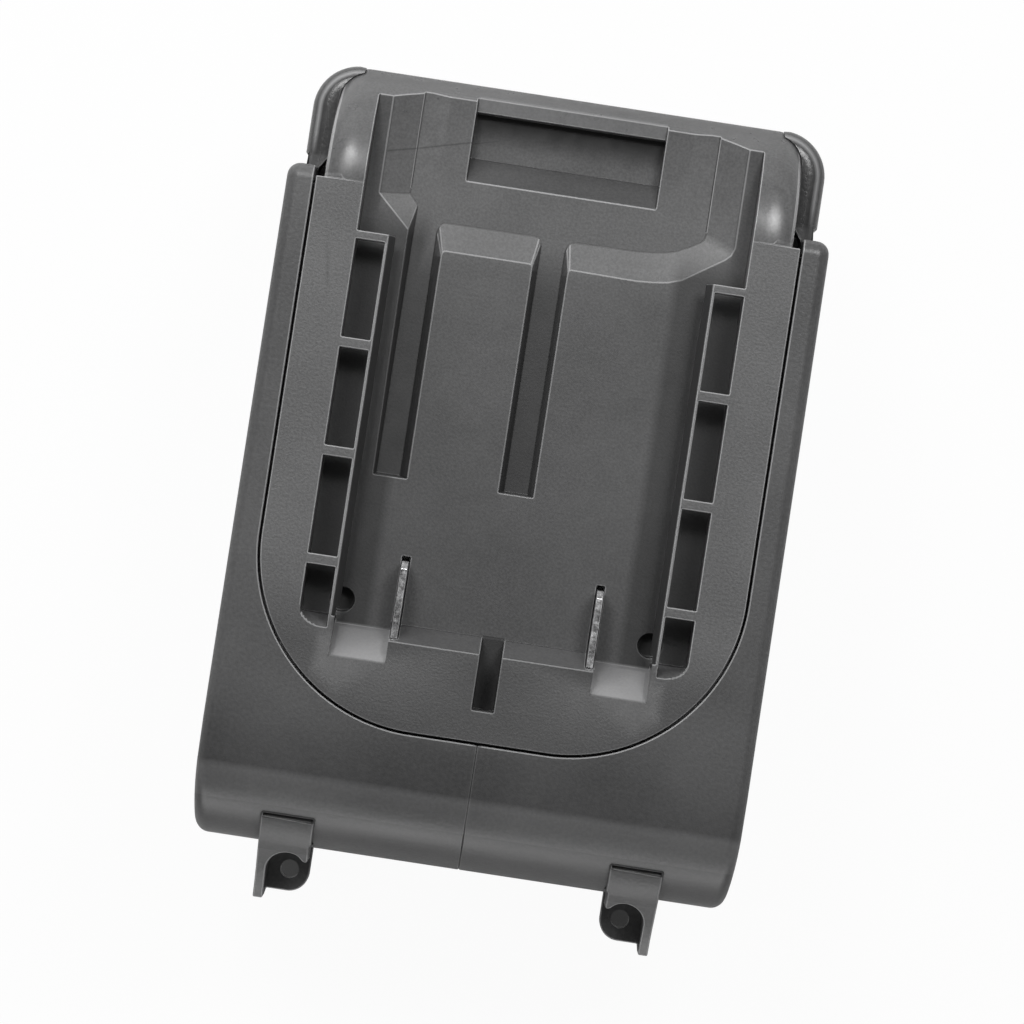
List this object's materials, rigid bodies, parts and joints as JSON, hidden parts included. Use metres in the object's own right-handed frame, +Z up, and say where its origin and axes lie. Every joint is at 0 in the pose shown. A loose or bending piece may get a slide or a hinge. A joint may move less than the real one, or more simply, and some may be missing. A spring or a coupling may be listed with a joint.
{
  "type": "tool battery adapter",
  "caption": "Slide-in dock for a tool battery in a flat two-part housing with screw ears, and a plug tower on its back that feeds an appliance.",
  "frame": {"origin": "centre of the plug tower's flat end, on the seam between the two housing halves", "axes": "+X across to the right, +Y towards the end where the battery slides in, +Z up out of the dock face"},
  "size_m": [0.08, 0.1256, 0.05],
  "materials": {
    "plate_plastic": "fine spark texture",
    "housing_plastic": "satin",
    "blade_metal": "tin plated",
    "black_plastic": "matte",
    "screw_steel": "zinc plated",
    "board_laminate": "solder mask",
    "sink_aluminium": "extruded",
    "capacitor_sleeve": "shrink film",
    "fuse_glass": "ceramic tube with caps",
    "part_ceramic": "ceramic chips",
    "clip_brass": "spring brass",
    "red_insulation": "soft insulation",
    "black_insulation": "soft insulation"
  },
  "bodies": {
    "root": {"dock_plate": "plate_plastic", "left_housing": "housing_plastic", "right_housing": "housing_plastic", "positive_blade": "blade_metal", "negative_blade": "blade_metal", "blade_holder": "black_plastic", "holder_screws": "screw_steel", "circuit_board": "board_laminate", "board_screws": "screw_steel", "power_transistors": "black_plastic", "heat_sink": "sink_aluminium", "smoothing_capacitors": "capacitor_sleeve", "fuse": "fuse_glass", "fuse_clips": "blade_metal", "control_chips": "black_plastic", "surface_parts": "part_ceramic", "output_socket": "black_plastic", "positive_contact_clip": "clip_brass", "negative_contact_clip": "clip_brass", "positive_lead": "red_insulation", "negative_lead": "black_insulation", "lead_sleeves": "black_insulation", "plate_screws": "screw_steel", "tower_screws": "screw_steel"}
  },
  "joints": []
}
